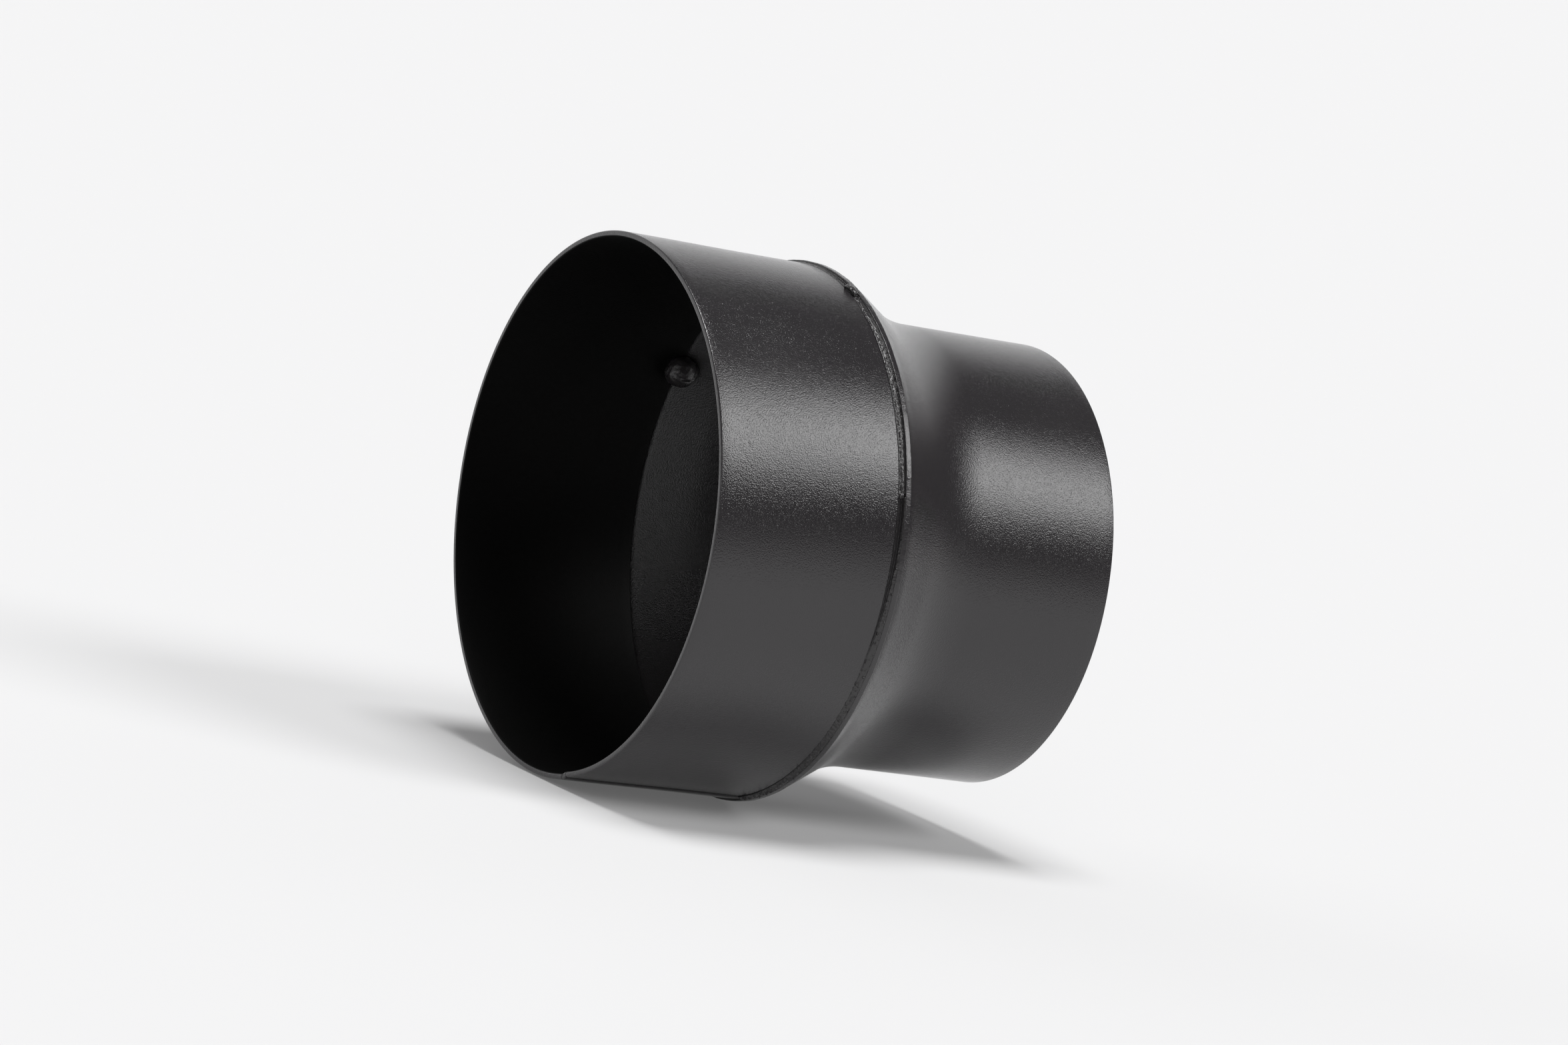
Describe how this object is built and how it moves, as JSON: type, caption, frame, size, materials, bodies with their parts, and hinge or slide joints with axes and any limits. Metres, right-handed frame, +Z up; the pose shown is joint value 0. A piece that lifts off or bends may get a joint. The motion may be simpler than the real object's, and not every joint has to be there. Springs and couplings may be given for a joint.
{
  "type": "concentric reducer",
  "caption": "Round concentric flue pipe reducer: a rolled steel shell, a rough ring weld and a flared tube that narrows to a smaller spigot, painted satin black.",
  "frame": {"origin": "on the pipe's axis, halfway along its length", "axes": "+X along the pipe's axis from the large mouth to the small end, +Z up, with the two seam welds low down"},
  "size_m": [0.163, 0.1862, 0.1862],
  "materials": {
    "painted_sheet": "satin black heat-resistant paint with a fine leathery grain",
    "painted_weld": "the same satin black paint over rough weld metal"
  },
  "bodies": {
    "root": {"large_end_shell": "painted_sheet", "flared_small_tube": "painted_sheet", "shell_seam_weld": "painted_weld", "tube_seam_weld": "painted_weld", "ring_weld_near_top_run": "painted_weld", "ring_weld_near_side_run": "painted_weld", "ring_weld_under_run": "painted_weld", "ring_weld_far_side_run": "painted_weld", "weld_lump_near_top": "painted_weld", "weld_lump_near_side": "painted_weld", "inner_weld_drip": "painted_weld"}
  },
  "joints": []
}
